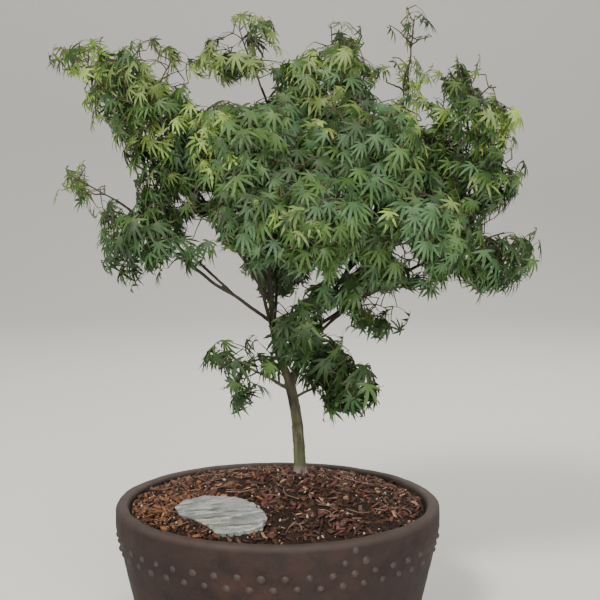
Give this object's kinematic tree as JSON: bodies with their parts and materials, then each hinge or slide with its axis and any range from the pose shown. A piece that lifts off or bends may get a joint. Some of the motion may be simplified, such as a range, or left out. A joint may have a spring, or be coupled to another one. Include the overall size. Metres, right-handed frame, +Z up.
{
  "type": "potted japanese maple bonsai",
  "caption": "Bonsai Japanese maple: short trunk forking into leaders, airy crown of drooping lobed leaves, in a round dark clay pot with studs, a soil mound and a slate.",
  "frame": {"origin": "middle of the pot's flat underside", "axes": "+Z up along the pot's axis, -Y towards the front, +X to the right as seen from the front"},
  "size_m": [0.4703, 0.3644, 0.5998],
  "materials": {
    "clay": "unglazed dark brown clay",
    "soil": "dark soil with bark chips",
    "slate": "matt riven slate",
    "bark": "grey-brown bark",
    "leaves": "soft green leaves"
  },
  "bodies": {
    "root": {"pot": "clay", "soil": "soil", "slate": "slate", "trunk": "bark", "leader_left": "bark", "leader_right": "bark", "bough_left_low": "bark", "bough_left_sprig": "bark", "bough_left_mid": "bark", "bough_left_up": "bark", "bough_left_tip": "bark", "bough_crown_left": "bark", "bough_crown_mid": "bark", "bough_heart_left": "bark", "bough_front_left": "bark", "bough_low_centre": "bark", "bough_back_left": "bark", "bough_back_mid": "bark", "bough_back_low": "bark", "bough_skirt_left": "bark", "bough_low_right": "bark", "bough_front_mid": "bark", "bough_front_right": "bark", "bough_right_low": "bark", "bough_right_mid": "bark", "bough_right_top": "bark", "bough_right_up": "bark", "bough_spire": "bark", "bough_spire_tip": "bark", "bough_back_right": "bark", "bough_back_low_right": "bark", "leaves_left_low": "leaves", "leaves_left_sprig": "leaves", "leaves_left_mid": "leaves", "leaves_left_up": "leaves", "leaves_left_tip": "leaves", "leaves_crown_left": "leaves", "leaves_crown_mid": "leaves", "leaves_heart_left": "leaves", "leaves_front_left": "leaves", "leaves_low_centre": "leaves", "leaves_back_left": "leaves", "leaves_back_mid": "leaves", "leaves_back_low": "leaves", "leaves_skirt_left": "leaves", "leaves_skirt_right": "leaves", "leaves_low_right": "leaves", "leaves_front_mid": "leaves", "leaves_front_right": "leaves", "leaves_right_low": "leaves", "leaves_right_mid": "leaves", "leaves_right_top": "leaves", "leaves_right_up": "leaves", "leaves_spire": "leaves", "leaves_spire_tip": "leaves", "leaves_back_right": "leaves", "leaves_back_low_right": "leaves"}
  },
  "joints": []
}
